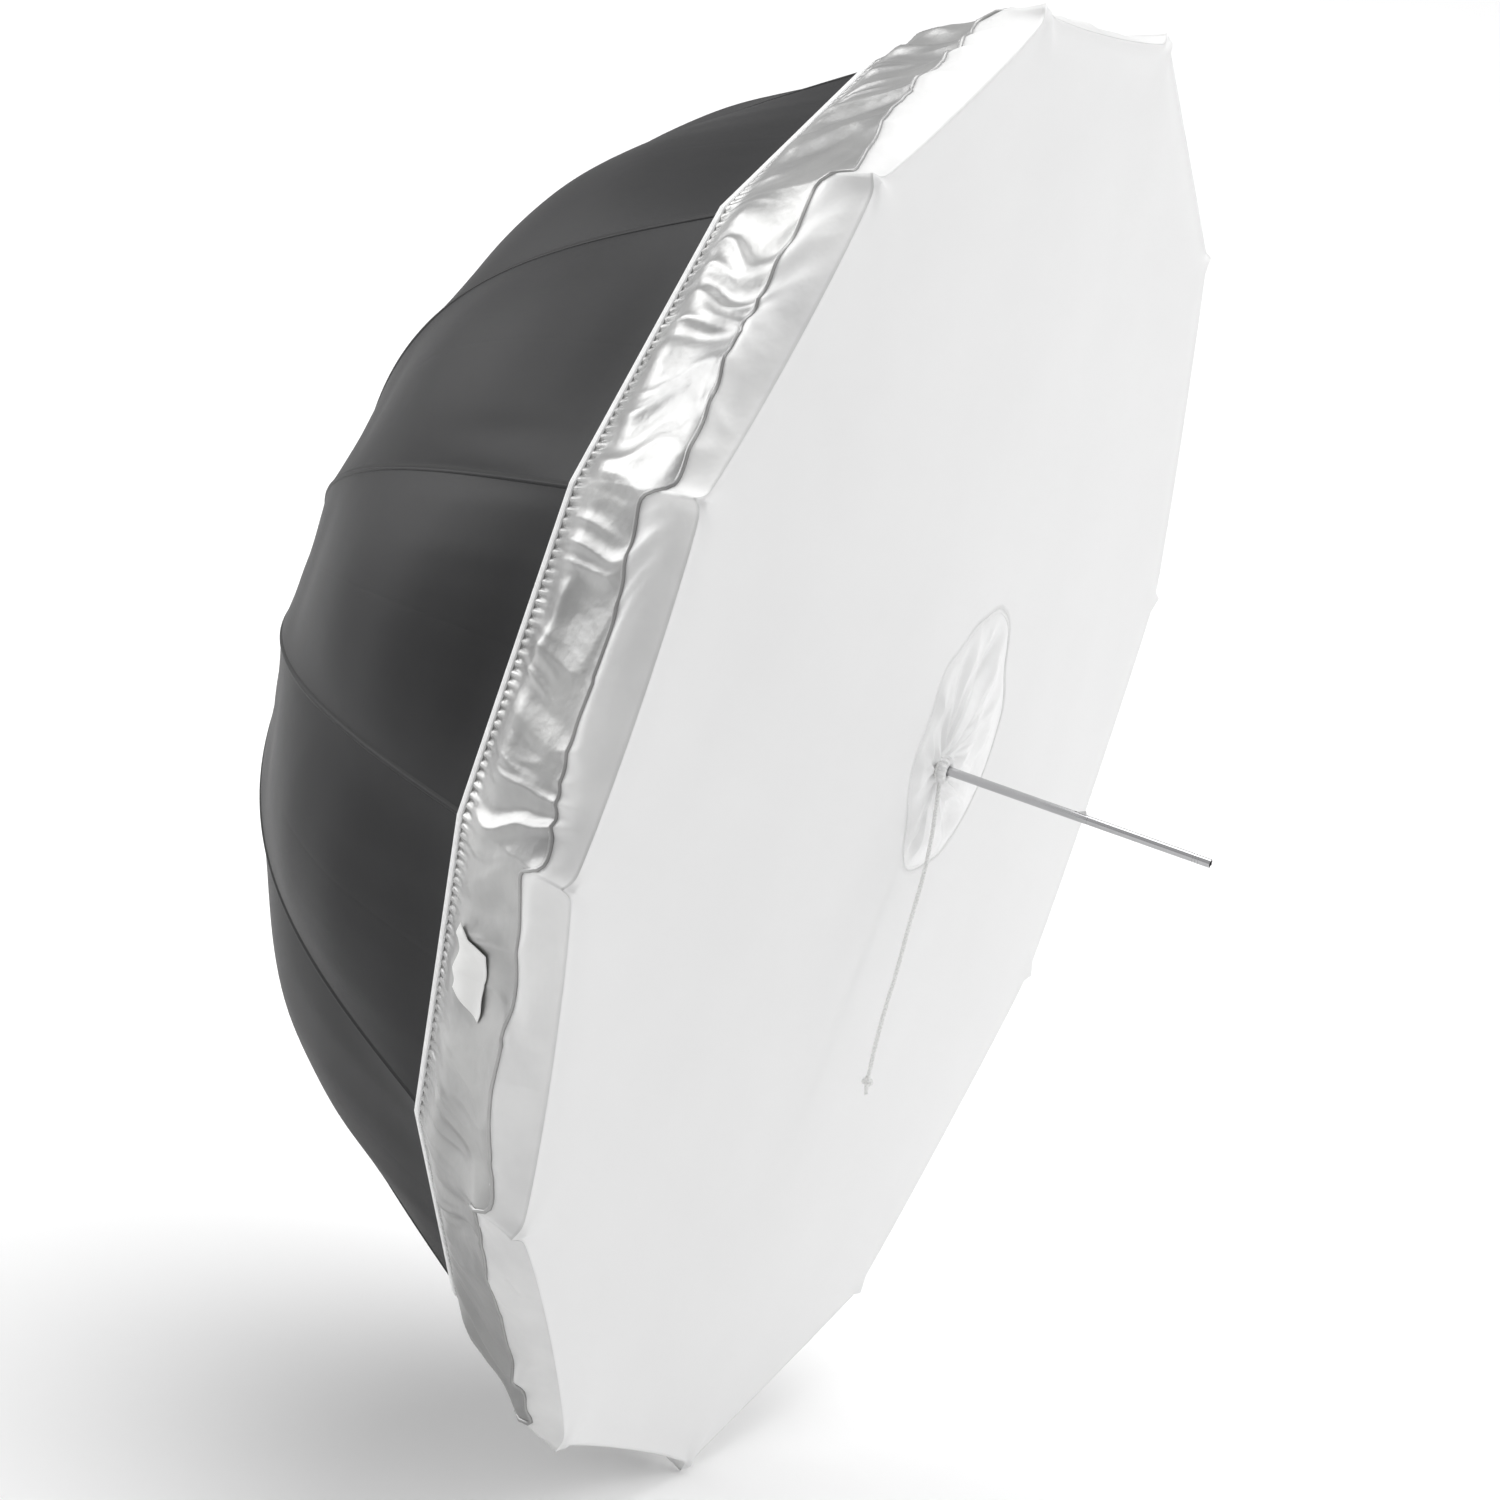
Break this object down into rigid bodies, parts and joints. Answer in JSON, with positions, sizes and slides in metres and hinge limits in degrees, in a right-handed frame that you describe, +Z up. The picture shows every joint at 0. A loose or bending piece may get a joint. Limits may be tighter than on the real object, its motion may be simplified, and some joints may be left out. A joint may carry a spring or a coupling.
{
  "type": "umbrella reflector",
  "caption": "Deep folding umbrella reflector with a slim shaft, sprung catches and a removable front diffuser cover.",
  "frame": {"origin": "on the shaft's axis, in the middle of the bare stretch that a light stand's umbrella clamp holds", "axes": "+Z up, -Y along the shaft towards its free end and the way the light leaves, +X to the right seen along +Y"},
  "size_m": [1.343, 0.8303, 1.343],
  "materials": {
    "shaft_steel": "polished",
    "hub_plastic": "moulded",
    "cap_plastic": "moulded",
    "spring_steel": "brushed",
    "rib_metal": "satin",
    "fitting_metal": "stamped",
    "strut_metal": "satin",
    "black_canopy": "black nylon outside, silver inside",
    "white_cloth": "matte translucent white",
    "sheer_cloth": "thin sheer white",
    "silver_satin": "silver satin",
    "elastic_tape": "woven elastic",
    "braided_cord": "braided"
  },
  "bodies": {
    "shaft_assembly": {"shaft": "shaft_steel", "crown": "hub_plastic", "crown_cap": "cap_plastic"},
    "runner": {"runner": "hub_plastic"},
    "open_catch": {"open_catch": "spring_steel"},
    "closed_catch": {"closed_catch": "spring_steel"},
    "diffuser": {"diffuser_front": "white_cloth", "diffuser_sleeve": "sheer_cloth", "diffuser_skirt": "silver_satin", "elastic_hem": "elastic_tape", "drawcord": "braided_cord", "cord_knot": "braided_cord"},
    "rib_01": {"rib_01": "rib_metal", "rib_fittings_01": "fitting_metal", "canopy_panel_01": "black_canopy"},
    "strut_01": {"strut_01": "strut_metal"},
    "rib_02": {"rib_02": "rib_metal", "rib_fittings_02": "fitting_metal", "canopy_panel_02": "black_canopy"},
    "strut_02": {"strut_02": "strut_metal"},
    "rib_03": {"rib_03": "rib_metal", "rib_fittings_03": "fitting_metal", "canopy_panel_03": "black_canopy"},
    "strut_03": {"strut_03": "strut_metal"},
    "rib_04": {"rib_04": "rib_metal", "rib_fittings_04": "fitting_metal", "canopy_panel_04": "black_canopy"},
    "strut_04": {"strut_04": "strut_metal"},
    "rib_05": {"rib_05": "rib_metal", "rib_fittings_05": "fitting_metal", "canopy_panel_05": "black_canopy"},
    "strut_05": {"strut_05": "strut_metal"},
    "rib_06": {"rib_06": "rib_metal", "rib_fittings_06": "fitting_metal", "canopy_panel_06": "black_canopy"},
    "strut_06": {"strut_06": "strut_metal"},
    "rib_07": {"rib_07": "rib_metal", "rib_fittings_07": "fitting_metal", "canopy_panel_07": "black_canopy"},
    "strut_07": {"strut_07": "strut_metal"},
    "rib_08": {"rib_08": "rib_metal", "rib_fittings_08": "fitting_metal", "canopy_panel_08": "black_canopy"},
    "strut_08": {"strut_08": "strut_metal"},
    "rib_09": {"rib_09": "rib_metal", "rib_fittings_09": "fitting_metal", "canopy_panel_09": "black_canopy"},
    "strut_09": {"strut_09": "strut_metal"},
    "rib_10": {"rib_10": "rib_metal", "rib_fittings_10": "fitting_metal", "canopy_panel_10": "black_canopy"},
    "strut_10": {"strut_10": "strut_metal"},
    "rib_11": {"rib_11": "rib_metal", "rib_fittings_11": "fitting_metal", "canopy_panel_11": "black_canopy"},
    "strut_11": {"strut_11": "strut_metal"},
    "rib_12": {"rib_12": "rib_metal", "rib_fittings_12": "fitting_metal", "canopy_panel_12": "black_canopy"},
    "strut_12": {"strut_12": "strut_metal"}
  },
  "joints": [
    {"name": "runner_slide", "type": "slide", "parent": "shaft_assembly", "child": "runner", "axis": [0, -1, 0], "range_m": [0, 0.34949], "deforming": ["canopy_panel_01", "canopy_panel_02", "canopy_panel_03", "canopy_panel_04", "canopy_panel_05", "canopy_panel_06", "canopy_panel_07", "canopy_panel_08", "canopy_panel_09", "canopy_panel_10", "canopy_panel_11", "canopy_panel_12", "diffuser_front", "diffuser_sleeve", "diffuser_skirt", "elastic_hem", "drawcord", "cord_knot"]},
    {"name": "rib_hinge_01", "type": "hinge", "parent": "shaft_assembly", "child": "rib_01", "pos_m": [0, 0.7495, 0.012], "axis": [1, 0, 0], "range_deg": [0, 50.8]},
    {"name": "strut_hinge_01", "type": "hinge", "parent": "rib_01", "child": "strut_01", "pos_m": [0, 0.66685, 0.32479], "axis": [-1, 0, 0], "range_deg": [0, 84.9]},
    {"name": "rib_hinge_02", "type": "hinge", "parent": "shaft_assembly", "child": "rib_02", "pos_m": [-0.006, 0.7495, 0.01039], "axis": [0.866, 0, 0.5], "range_deg": [0, 50.8]},
    {"name": "strut_hinge_02", "type": "hinge", "parent": "rib_02", "child": "strut_02", "pos_m": [-0.1624, 0.66685, 0.28128], "axis": [-0.866, 0, -0.5], "range_deg": [0, 84.9]},
    {"name": "rib_hinge_03", "type": "hinge", "parent": "shaft_assembly", "child": "rib_03", "pos_m": [-0.01039, 0.7495, 0.006], "axis": [0.5, 0, 0.866], "range_deg": [0, 50.8]},
    {"name": "strut_hinge_03", "type": "hinge", "parent": "rib_03", "child": "strut_03", "pos_m": [-0.28128, 0.66685, 0.1624], "axis": [-0.5, 0, -0.866], "range_deg": [0, 84.9]},
    {"name": "rib_hinge_04", "type": "hinge", "parent": "shaft_assembly", "child": "rib_04", "pos_m": [-0.012, 0.7495, 0], "axis": [0, 0, 1], "range_deg": [0, 50.8]},
    {"name": "strut_hinge_04", "type": "hinge", "parent": "rib_04", "child": "strut_04", "pos_m": [-0.32479, 0.66685, 0], "axis": [0, 0, -1], "range_deg": [0, 84.9]},
    {"name": "rib_hinge_05", "type": "hinge", "parent": "shaft_assembly", "child": "rib_05", "pos_m": [-0.01039, 0.7495, -0.006], "axis": [-0.5, 0, 0.866], "range_deg": [0, 50.8]},
    {"name": "strut_hinge_05", "type": "hinge", "parent": "rib_05", "child": "strut_05", "pos_m": [-0.28128, 0.66685, -0.1624], "axis": [0.5, 0, -0.866], "range_deg": [0, 84.9]},
    {"name": "rib_hinge_06", "type": "hinge", "parent": "shaft_assembly", "child": "rib_06", "pos_m": [-0.006, 0.7495, -0.01039], "axis": [-0.866, 0, 0.5], "range_deg": [0, 50.8]},
    {"name": "strut_hinge_06", "type": "hinge", "parent": "rib_06", "child": "strut_06", "pos_m": [-0.1624, 0.66685, -0.28128], "axis": [0.866, 0, -0.5], "range_deg": [0, 84.9]},
    {"name": "rib_hinge_07", "type": "hinge", "parent": "shaft_assembly", "child": "rib_07", "pos_m": [0, 0.7495, -0.012], "axis": [-1, 0, 0], "range_deg": [0, 50.8]},
    {"name": "strut_hinge_07", "type": "hinge", "parent": "rib_07", "child": "strut_07", "pos_m": [0, 0.66685, -0.32479], "axis": [1, 0, 0], "range_deg": [0, 84.9]},
    {"name": "rib_hinge_08", "type": "hinge", "parent": "shaft_assembly", "child": "rib_08", "pos_m": [0.006, 0.7495, -0.01039], "axis": [-0.866, 0, -0.5], "range_deg": [0, 50.8]},
    {"name": "strut_hinge_08", "type": "hinge", "parent": "rib_08", "child": "strut_08", "pos_m": [0.1624, 0.66685, -0.28128], "axis": [0.866, 0, 0.5], "range_deg": [0, 84.9]},
    {"name": "rib_hinge_09", "type": "hinge", "parent": "shaft_assembly", "child": "rib_09", "pos_m": [0.01039, 0.7495, -0.006], "axis": [-0.5, 0, -0.866], "range_deg": [0, 50.8]},
    {"name": "strut_hinge_09", "type": "hinge", "parent": "rib_09", "child": "strut_09", "pos_m": [0.28128, 0.66685, -0.1624], "axis": [0.5, 0, 0.866], "range_deg": [0, 84.9]},
    {"name": "rib_hinge_10", "type": "hinge", "parent": "shaft_assembly", "child": "rib_10", "pos_m": [0.012, 0.7495, 0], "axis": [0, 0, -1], "range_deg": [0, 50.8]},
    {"name": "strut_hinge_10", "type": "hinge", "parent": "rib_10", "child": "strut_10", "pos_m": [0.32479, 0.66685, 0], "axis": [0, 0, 1], "range_deg": [0, 84.9]},
    {"name": "rib_hinge_11", "type": "hinge", "parent": "shaft_assembly", "child": "rib_11", "pos_m": [0.01039, 0.7495, 0.006], "axis": [0.5, 0, -0.866], "range_deg": [0, 50.8]},
    {"name": "strut_hinge_11", "type": "hinge", "parent": "rib_11", "child": "strut_11", "pos_m": [0.28128, 0.66685, 0.1624], "axis": [-0.5, 0, 0.866], "range_deg": [0, 84.9]},
    {"name": "rib_hinge_12", "type": "hinge", "parent": "shaft_assembly", "child": "rib_12", "pos_m": [0.006, 0.7495, 0.01039], "axis": [0.866, 0, -0.5], "range_deg": [0, 50.8]},
    {"name": "strut_hinge_12", "type": "hinge", "parent": "rib_12", "child": "strut_12", "pos_m": [0.1624, 0.66685, 0.28128], "axis": [-0.866, 0, 0.5], "range_deg": [0, 84.9]},
    {"name": "open_catch_press", "type": "slide", "parent": "shaft_assembly", "child": "open_catch", "axis": [0, 0, -1], "range_m": [0, 0.003], "stiffness_N_per_m": 300},
    {"name": "closed_catch_press", "type": "slide", "parent": "shaft_assembly", "child": "closed_catch", "axis": [0, 0, -1], "range_m": [0, 0.003], "stiffness_N_per_m": 300},
    {"name": "diffuser_pull_off", "type": "slide", "parent": "shaft_assembly", "child": "diffuser", "axis": [0, -1, 0], "range_m": [0, 0.54], "deforming": ["diffuser_front", "diffuser_sleeve", "diffuser_skirt", "elastic_hem", "drawcord", "cord_knot"]}
  ],
  "couplings": [
    {"joint": "rib_hinge_01", "follows": "runner_slide", "rad_per_m": 2.5369},
    {"joint": "strut_hinge_01", "follows": "runner_slide", "rad_per_m": 4.2396},
    {"joint": "rib_hinge_02", "follows": "runner_slide", "rad_per_m": 2.5369},
    {"joint": "strut_hinge_02", "follows": "runner_slide", "rad_per_m": 4.2396},
    {"joint": "rib_hinge_03", "follows": "runner_slide", "rad_per_m": 2.5369},
    {"joint": "strut_hinge_03", "follows": "runner_slide", "rad_per_m": 4.2396},
    {"joint": "rib_hinge_04", "follows": "runner_slide", "rad_per_m": 2.5369},
    {"joint": "strut_hinge_04", "follows": "runner_slide", "rad_per_m": 4.2396},
    {"joint": "rib_hinge_05", "follows": "runner_slide", "rad_per_m": 2.5369},
    {"joint": "strut_hinge_05", "follows": "runner_slide", "rad_per_m": 4.2396},
    {"joint": "rib_hinge_06", "follows": "runner_slide", "rad_per_m": 2.5369},
    {"joint": "strut_hinge_06", "follows": "runner_slide", "rad_per_m": 4.2396},
    {"joint": "rib_hinge_07", "follows": "runner_slide", "rad_per_m": 2.5369},
    {"joint": "strut_hinge_07", "follows": "runner_slide", "rad_per_m": 4.2396},
    {"joint": "rib_hinge_08", "follows": "runner_slide", "rad_per_m": 2.5369},
    {"joint": "strut_hinge_08", "follows": "runner_slide", "rad_per_m": 4.2396},
    {"joint": "rib_hinge_09", "follows": "runner_slide", "rad_per_m": 2.5369},
    {"joint": "strut_hinge_09", "follows": "runner_slide", "rad_per_m": 4.2396},
    {"joint": "rib_hinge_10", "follows": "runner_slide", "rad_per_m": 2.5369},
    {"joint": "strut_hinge_10", "follows": "runner_slide", "rad_per_m": 4.2396},
    {"joint": "rib_hinge_11", "follows": "runner_slide", "rad_per_m": 2.5369},
    {"joint": "strut_hinge_11", "follows": "runner_slide", "rad_per_m": 4.2396},
    {"joint": "rib_hinge_12", "follows": "runner_slide", "rad_per_m": 2.5369},
    {"joint": "strut_hinge_12", "follows": "runner_slide", "rad_per_m": 4.2396}
  ]
}
